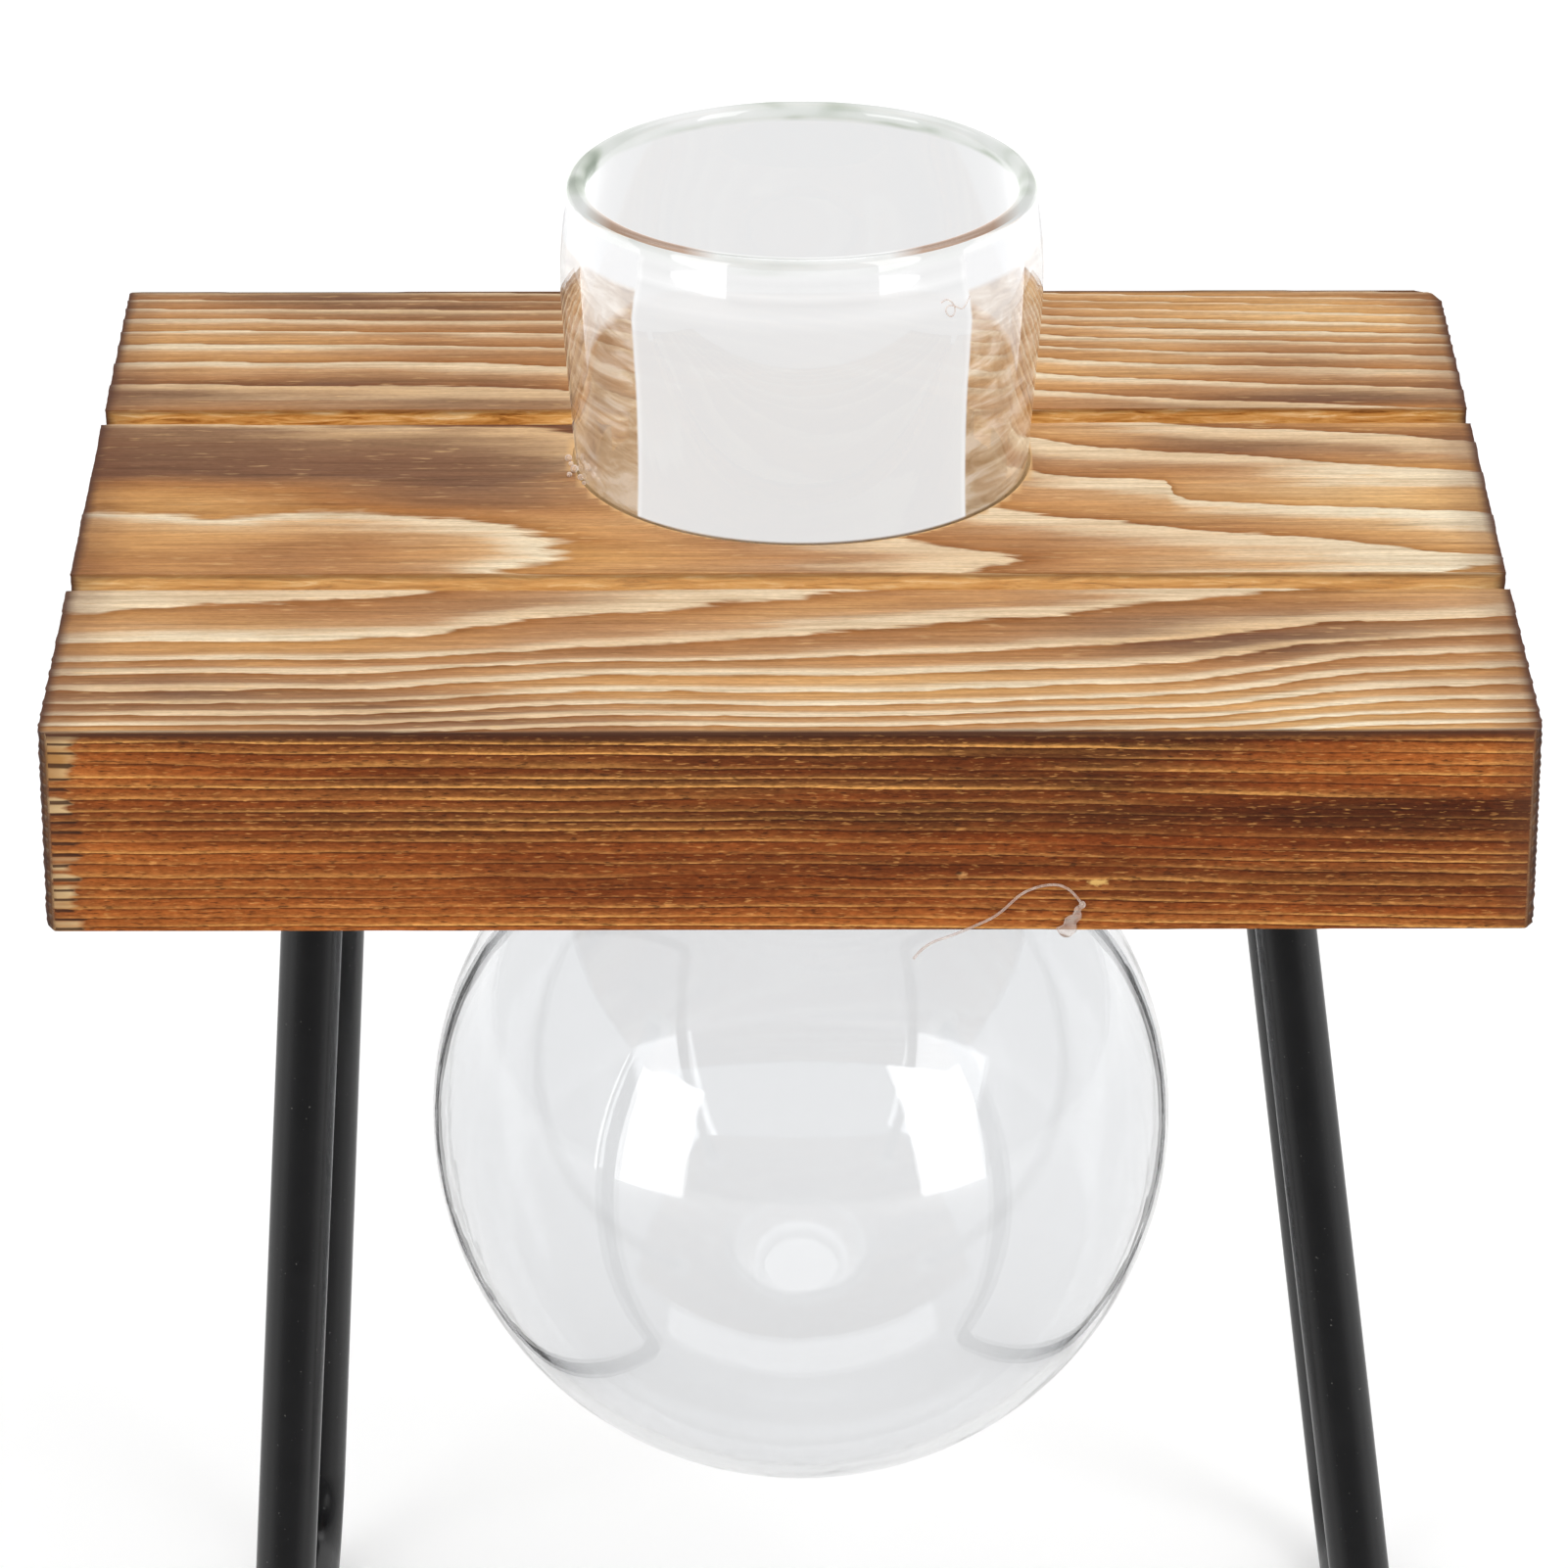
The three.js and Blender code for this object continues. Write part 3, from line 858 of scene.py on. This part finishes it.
# The lip's painted light: grey-green patches, a painted highlight of pale grey on its near side, and
# painted brown slivers of the wood seen in the near lip.
lip = spread(at_z, lip_from, lip_from + 0.0005)
lip_glow_colour = ramp(
    lip_patches, (0.34, paint(128, 140, 124)), (0.42, paint(178, 186, 174)),
    (0.5, paint(208, 212, 207)), (0.7, paint(226, 227, 226)))
sideways = absolute(minus(at_x, vase_x))
painted_wood_sliver = ramp(times(sideways, 40), (0.36, 0), (0.5, 0.9), (0.8, 0.9), (0.92, 0))
painted_wood_sliver = times(painted_wood_sliver, is_less(at_y, vase_y))
painted_wood_sliver = times(painted_wood_sliver, is_less(from_axis, lip_radius - neck_wall / 8))
near_side = minus(vase_y, at_y)
lip_glow_colour = mix(ramp(times(near_side, 40), (0.4, 0), (0.75, 0.7)), lip_glow_colour, paint(236, 236, 236))
lip_glow_colour = mix(painted_wood_sliver, lip_glow_colour, paint(168, 130, 102))
painted_glow_colour = mix(lip, painted_glow_light, lip_glow_colour)
painted_glow_share = larger(painted_glow_share, times(lip, 0.85))
painted_glow_share = times(painted_glow_share, outward)
painted_glow_colour = mix(painted_glow_share, (0.0, 0.0, 0.0, 1), painted_glow_colour)
# Under the painted glow the glass's own colour is almost black, so the glow alone gives its colour there.
glass_colour = mix(painted_glow_share, (0.858, 0.864, 0.872, 1), (0.004, 0.004, 0.004, 1))
glass_shader = add_node('BsdfPrincipled', Base_Color=glass_colour, Roughness=0.0, IOR=1.47,
                        Transmission_Weight=1.0, Emission_Color=painted_glow_colour, Emission_Strength=1.0,
                        Normal=glass_relief.outputs[0])
clear = add_node('BsdfTransparent', Color=(0.93, 0.94, 0.94, 1))
path = add_node('LightPath')
let_lamps_through = add_node('MixShader', i0=path.outputs['Is Shadow Ray'],
                             i1=glass_shader.outputs[0], i2=clear.outputs[0])
show(let_lamps_through)
put_on(vase, glass)
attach(vase, "root")
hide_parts("glass_vase")


# Each leg frame is one steel wire, bent into a leg, a runner on the floor and the other leg, and
# powder-coated black. Its two ends are glued into sockets in the underside of the board.

bend_radius = 0.009
bend_steps = 12
leg_in_socket = 0.012
coat, tree = new_material("black_powder_coat")
place = add_node('TexCoord').outputs['Object']
orange_peel = noise_node(place, 900, 2, 0.5)
dust = noise_node(place, 2600, 1, 0.5)
scuffs = noise_node(place, 160, 4, 0.6)
dust_mask = ramp(dust, (0.76, 0), (0.8, 1))
coat_colour = ramp(scuffs, (0.35, paint(19, 19, 20)), (0.65, paint(13, 13, 14)))
coat_colour = mix(times(dust_mask, 0.5), coat_colour, paint(120, 118, 114))
coat_rough = times_plus(scuffs, 0.12, 0.18)
# The coat is glossiest where it turns a little away, which leaves a dark line along the wire's middle.
turned = add_node('LayerWeight', Blend=0.5).outputs['Facing']
coat_gloss = ramp(turned, (0.05, 0), (0.14, 0.1), (0.27, 0.48), (0.45, 0.48), (0.72, 0.05))
coat_relief = add_node('Bump', Strength=0.25, Distance=0.00008, Height=orange_peel)
coat_shader = add_node('BsdfPrincipled', Base_Color=coat_colour, Roughness=coat_rough,
                       Specular_IOR_Level=0.09, Coat_Weight=coat_gloss, Coat_Roughness=0.22,
                       Normal=coat_relief.outputs[0])
show(coat_shader)

for leg_frame in leg_frames:
    place = leg_frame_matrix(leg_frame)
    runner_height = -(under_z - wire_radius) / math.cos(leg_frame["lean"])
    front_corner_point = leg_point(-1, runner_height)
    rear_corner_point = leg_point(1, runner_height)
    down_front = (front_corner_point - leg_point(-1, 0)).normalized()
    back_along = Vector((0, 1, 0))
    bend = down_front.angle(back_along)
    set_back = bend_radius * math.tan(bend / 2)
    facing = Vector((0, 0, 1)).rotation_difference(down_front).to_euler()
    bpy.ops.mesh.primitive_circle_add(vertices=wire_sides, radius=wire_radius, fill_type='NGON',
                                      location=leg_point(-1, leg_in_socket), rotation=facing)
    wire = named(leg_frame["side"] + "_wire_leg_frame")
    settle(wire)
    start_editing(wire)
    take_all()
    leg_run = front_corner_point + down_front * -set_back - leg_point(-1, leg_in_socket)
    extrude(leg_run)
    first_centre = front_corner_point + back_along * set_back + Vector((0, 0, bend_radius))
    bpy.ops.mesh.spin(steps=bend_steps, angle=-bend, center=first_centre, axis=(1, 0, 0))
    runner = rear_corner_point - front_corner_point - back_along * (2 * set_back)
    extrude(runner)
    second_centre = rear_corner_point - back_along * set_back + Vector((0, 0, bend_radius))
    bpy.ops.mesh.spin(steps=bend_steps, angle=-bend, center=second_centre, axis=(1, 0, 0))
    up_rear = (leg_point(1, 0) - rear_corner_point).normalized()
    leg_run = leg_point(1, leg_in_socket) - (rear_corner_point + up_rear * set_back)
    extrude(leg_run)
    close_up()
    wire.data.transform(place)
    shade_smooth(wire)
    put_on(wire, coat)
    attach(wire, "root")
    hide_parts(leg_frame["side"] + "_leg_frame")


# Hot-melt glue holds the glass and the wires: a ring where the neck meets the underside of the
# board, and a domed collar round each leg. It is cloudy, a little glossy and uneven.

# The thick and the thin glue are both hazy: darker and paler clouds that also stand a little proud.
glue_haze = bpy.data.node_groups.new("glue_haze", 'ShaderNodeTree')
for label, way, kind in (
    ("Scale", 'INPUT', 'Float'), ("Detail", 'INPUT', 'Float'), ("Dark", 'INPUT', 'Color'),
    ("Pale", 'INPUT', 'Color'), ("Strength", 'INPUT', 'Float'), ("Depth", 'INPUT', 'Float'),
    ("Colour", 'OUTPUT', 'Color'), ("Haze", 'OUTPUT', 'Float'), ("Normal", 'OUTPUT', 'Vector'),
):
    glue_haze.interface.new_socket(label, in_out=way, socket_type='NodeSocket' + kind)
tree = glue_haze
given = add_node('NodeGroupInput').outputs
place = add_node('TexCoord').outputs['Object']
haze = noise_node(place, given['Scale'], given['Detail'], 0.5)
haze_share = spread(haze, 0.3, 0.7)
haze_colour = mix(haze_share, given['Dark'], given['Pale'])
haze_relief = add_node('Bump', Strength=given['Strength'], Distance=given['Depth'], Height=haze)
add_node('NodeGroupOutput', Colour=haze_colour, Haze=haze, Normal=haze_relief.outputs[0])

glue, tree = new_material("cloudy_hot_melt_glue")
hazy = add_node(
    'Group', {"node_tree": glue_haze}, Scale=420, Detail=3, Dark=paint(214, 206, 186),
    Pale=paint(240, 236, 224), Strength=0.3, Depth=0.0003).outputs
glue_rough = times_plus(hazy['Haze'], 0.2, 0.28)
glue_shader = add_node('BsdfPrincipled', Base_Color=hazy['Colour'], Roughness=glue_rough,
                       Subsurface_Weight=0.35, Subsurface_Scale=0.002, Normal=hazy['Normal'])
show(glue_shader)
lumps = bpy.data.textures.new("glue lumps", 'CLOUDS')
lumps.noise_scale = 0.004


def make_uneven(piece, strength):
    """Lumps made by hand work, which only ever sink into the piece."""
    dent = piece.modifiers.new("lumps", 'DISPLACE')
    dent.texture = lumps
    dent.texture_coords = 'LOCAL'
    dent.mid_level = 1.0
    dent.strength = strength
    finish_modifier(piece, dent)


def finish_glue(piece, material, node=None):
    shade_smooth(piece, 50)
    put_on(piece, material)
    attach(piece, "root")
    if node:
        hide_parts(node)


glue_gap = 0.0003
ring_inside = neck_foot_radius + glue_gap
ring_width = 0.0034
ring_height = 0.005
ring_sides = 120
ring_top = -glue_gap
ring_section = [(ring_inside, ring_top)] + [
    (radius, height + ring_top) for radius, height in
    [(ring_inside, -ring_height)] + [
        (ring_inside + ring_width * (1 + math.cos(math.pi - i * math.pi / 16)),
         -ring_height + ring_height * math.sin(i * math.pi / 16)) for i in range(1, 8)]
    + [(ring_inside + ring_width, 0)]]
neck_ring = spin_section("neck_glue_ring", ring_section, (vase_x, vase_y, under_z), ring_sides)
make_uneven(neck_ring, 0.0005)
finish_glue(neck_ring, glue, "neck_glue")

collar_height = 0.0032
collar_sides = 40
collar_radius = wire_radius + glue_gap + 0.003
for leg_frame in leg_frames:
    for end, end_name in ((-1, "front"), (1, "rear")):
        entry = leg_frame_matrix(leg_frame) @ leg_point(end, 0)
        inside = wire_radius + 0.0001
        collar_section = [(inside, ring_top)] + [
            (inside + (collar_radius - inside) * math.sin(i * math.pi / 14),
             ring_top - collar_height * math.cos(i * math.pi / 14)) for i in range(0, 8)]
        leg_name = end_name + "_" + leg_frame["side"] + "_leg"
        collar = spin_section(
            leg_name + "_collar", collar_section, (entry.x, entry.y, under_z), collar_sides)
        make_uneven(collar, 0.0004)
        finish_glue(collar, glue, leg_name + "_glue")


# A drawn-out thread of the same glue hangs on the front face: from a torn film on the lower edge it
# rises to a knot, arches over the wood, comes down and ends free below the board. It is clearer than
# the beads, because it is thin.

clear_glue, tree = new_material("thin_hot_melt_glue")
hazy = add_node(
    'Group', {"node_tree": glue_haze}, Scale=1500, Detail=2, Dark=paint(196, 166, 150),
    Pale=paint(240, 226, 214), Strength=0.4, Depth=0.0002).outputs
turned = add_node('LayerWeight', Blend=0.5).outputs['Facing']
clear_glue_body = ramp(turned, (0.15, 0.3), (0.6, 0.85))
clear_glue_shader = add_node('BsdfPrincipled', Base_Color=hazy['Colour'], Roughness=0.28,
                             IOR=1.48, Alpha=clear_glue_body, Normal=hazy['Normal'])
show(clear_glue_shader)


def draw_strand(name, points, radius):
    """Adds a thin round strand along a smooth curve through points in metres."""
    bpy.ops.curve.primitive_nurbs_path_add(location=(0, 0, 0))
    strand = named(name)
    strand.data.splines.clear()
    line = strand.data.splines.new('NURBS')
    line.points.add(len(points) - 1)
    for point, corner in zip(line.points, points):
        point.co = (*corner, 1)
    line.use_endpoint_u = True
    line.order_u = 4
    strand.data.resolution_u = 8
    strand.data.bevel_depth = radius
    strand.data.bevel_resolution = 3
    strand.data.use_fill_caps = True
    work_on(strand)
    bpy.ops.object.convert(target='MESH')
    return bpy.context.object


thread_y = board_low[1] + 0.00022
knot = (0.0293, thread_y, 0.1410)
thread_points = (
    (0.0293, 0.1410), (0.0285, 0.1423), (0.0274, 0.1432), (0.0260, 0.1433), (0.0244, 0.1429),
    (0.0230, 0.1422), (0.0218, 0.1408), (0.0205, 0.1396), (0.0186, 0.1387), (0.0172, 0.1380),
    (0.0158, 0.1374), (0.0142, 0.1369), (0.0131, 0.1360), (0.0124, 0.1350),
)
thread_radius = 0.00013
thread = draw_strand("glue_thread", [(x, thread_y, z) for x, z in thread_points], thread_radius)
finish_glue(thread, clear_glue)

bpy.ops.mesh.primitive_uv_sphere_add(segments=20, ring_count=12, radius=1, location=knot)
glue_knot = named("glue_knot")
glue_knot.scale = (0.00034, 0.0002, 0.00042)
settle(glue_knot)
finish_glue(glue_knot, clear_glue)

# Crumbs of glue that the gun left at the neck's foot, on the left.
crumbs = []
for x, y, size in ((-0.0236, 0.0102, 0.0004), (-0.0233, 0.0088, 0.00028), (-0.0229, 0.0071, 0.00045),
                   (-0.0234, 0.0057, 0.0003), (-0.0222, 0.0049, 0.00035), (-0.0218, 0.0035, 0.00022)):
    bpy.ops.mesh.primitive_ico_sphere_add(subdivisions=2, radius=size, location=(x, y, top_z + size * 0.7))
    crumbs.append(bpy.context.object)
work_on(*crumbs)
bpy.ops.object.join()
glue_crumbs = named("glue_crumbs")
settle(glue_crumbs)
finish_glue(glue_crumbs, clear_glue)

# The film is a narrow cone, pressed flat, whose wide end folds under the lower edge.
film_foot = (0.0277, thread_y, 0.1380)
film_wide_end = 0.00092
film_narrow_end = 0.00022
film_flatness = 0.12
film_sides = 28
film_cuts = 9
film_reach = Vector(knot) - Vector(film_foot)
bpy.ops.mesh.primitive_cone_add(
    vertices=film_sides, radius1=film_wide_end, radius2=film_narrow_end, depth=film_reach.length)
film = named("glue_film")
start_editing(film)
cut_edges(lambda e: abs(e.verts[0].co.z - e.verts[1].co.z) > 0.0001, film_cuts)
stop_editing()
film.scale = (1, film_flatness, 1)
work_on(film)
bpy.ops.object.transform_apply(location=False, rotation=False, scale=True)
start_editing(film)
shape = bmesh.from_edit_mesh(film.data)
for corner in shape.verts:
    foot_share = 0.5 - corner.co.z / film_reach.length
    corner.co.z -= 0.0006 * foot_share ** 3 * math.cos(min(abs(corner.co.x) * 1500, math.pi))
    corner.co.x += 0.00016 * math.sin(corner.co.z * 4200)
    corner.co.y += 0.00005 * math.sin(corner.co.x * 6500 + corner.co.z * 2400)
bmesh.update_edit_mesh(film.data)
stop_editing()
film.rotation_euler = Vector((0, 0, 1)).rotation_difference(film_reach).to_euler()
film.location = (Vector(knot) + Vector(film_foot)) / 2
settle(film)
finish_glue(film, clear_glue)

# A smear of glue on the neck, on the right of its front: one thin strand that curls back on itself.


def neck_radius_at(z):
    """The outer radius of the neck at a height above the board."""
    above = [(radius, height) for radius, height in outer_side if height >= top_z]
    for (low_radius, low), (high_radius, high) in zip(above, above[1:]):
        if low <= z <= high:
            return low_radius + (high_radius - low_radius) * (z - low) / (high - low)


smear_points = []
for turn, height in ((34.0, 25.9), (35.4, 26.3), (37.2, 25.7), (38.2, 24.8), (37.2, 24.0), (35.6, 24.3),
                     (34.8, 25.2), (36.4, 25.5), (38.6, 25.0), (40.2, 24.4), (41.4, 25.1), (42.5, 25.7)):
    angle = math.radians(turn)
    z = top_z + height / 1000
    smear_radius = neck_radius_at(z) + 0.00003
    to_right, to_front = smear_radius * math.sin(angle), smear_radius * math.cos(angle)
    smear_points.append((vase_x + to_right, vase_y - to_front, z))
smear_strand_radius = 0.00008
smear = draw_strand("glue_smear_on_neck", smear_points, smear_strand_radius)
finish_glue(smear, clear_glue)


# The stage: a plain pale floor that runs back out of sight, and keeps the object's shadow.


def seen_directly():
    """1 for what the camera sees, also in gloss and through glass, and 0 for soft light."""
    path = add_node('LightPath').outputs
    return larger(larger(path['Is Camera Ray'], path['Is Glossy Ray']), path['Is Transmission Ray'])


floor_size = 12
floor_back = 3
bpy.ops.mesh.primitive_plane_add(size=floor_size, location=(0, floor_back, 0))
floor = named("floor")
pale, tree = new_material("pale_floor")
floor_shader = add_node('BsdfPrincipled', Base_Color=(0.55, 0.55, 0.55, 1), Roughness=0.9,
                        Specular_IOR_Level=0.1)
seen = seen_directly()
floor_place = add_node('TexCoord').outputs['Object']
from_object = add_node('VectorMath', {"operation": 'DISTANCE'}, i0=floor_place,
                       i1=(0, -floor_back, 0)).outputs['Value']
far_off = spread(from_object, 0.35, 1.2, 0.5, 1)
glow = add_node('Emission', Color=(1, 1, 1, 1), Strength=times(seen, far_off))
floor_sum = add_node('AddShader', i0=floor_shader.outputs[0], i1=glow.outputs[0])
from_below = add_node('NewGeometry').outputs['Backfacing']
one_sided = add_node('MixShader', i0=from_below, i1=floor_sum.outputs[0],
                     i2=add_node('BsdfTransparent').outputs[0])
show(one_sided)
floor.data.materials.append(pale)


# Light: large soft boxes on the left, on the right and overhead, and a plain pale room.

world = bpy.data.worlds.new("room")
bpy.context.scene.world = world
world.use_nodes = True
tree = world.node_tree
tree.nodes.clear()
room_light = times_plus(seen_directly(), 0.68, 0.32)
room = add_node('Background', Color=(1, 1, 1, 1), Strength=room_light)
add_node('OutputWorld', Surface=room.outputs[0])


def soft_box(name, place, aim, width, height, power):
    bpy.ops.object.light_add(type='AREA', location=place)
    lamp = named(name)
    lamp.data.shape = 'RECTANGLE'
    lamp.data.size = width
    lamp.data.size_y = height
    lamp.data.energy = power
    lamp.rotation_euler = (Vector(aim) - Vector(place)).to_track_quat('-Z', 'Y').to_euler()


middle_of_object = (0, 0, 0.12)
soft_box("left soft box", (-0.95, -0.79, 0.28), middle_of_object, 0.66, 0.95, 8.9)
soft_box("right soft box", (0.85, -0.81, 0.56), middle_of_object, 0.50, 1.45, 10.1)
soft_box("top soft box", (0, 0.15, 1.5), middle_of_object, 2.0, 1.8, 16.5)


# The camera stands where the photograph was taken from: about 0.8 m away, looking 25 degrees down
# through a long lens.

camera_place = (-0.00375, -0.7195, 0.4614)
look_down = math.radians(24.985)
look_right = math.radians(0.27)
film_width = 36
photograph_width = 1601
focal_length = 7450             # in pixels of the photograph, as its width is
bpy.ops.object.camera_add(location=camera_place, rotation=(math.radians(90) - look_down, 0, -look_right))
camera = bpy.context.object
camera.data.sensor_width = film_width
camera.data.lens = film_width * focal_length / photograph_width
camera.data.clip_start = 0.01
bpy.context.scene.camera = camera
bpy.context.scene.view_settings.view_transform = 'Standard'
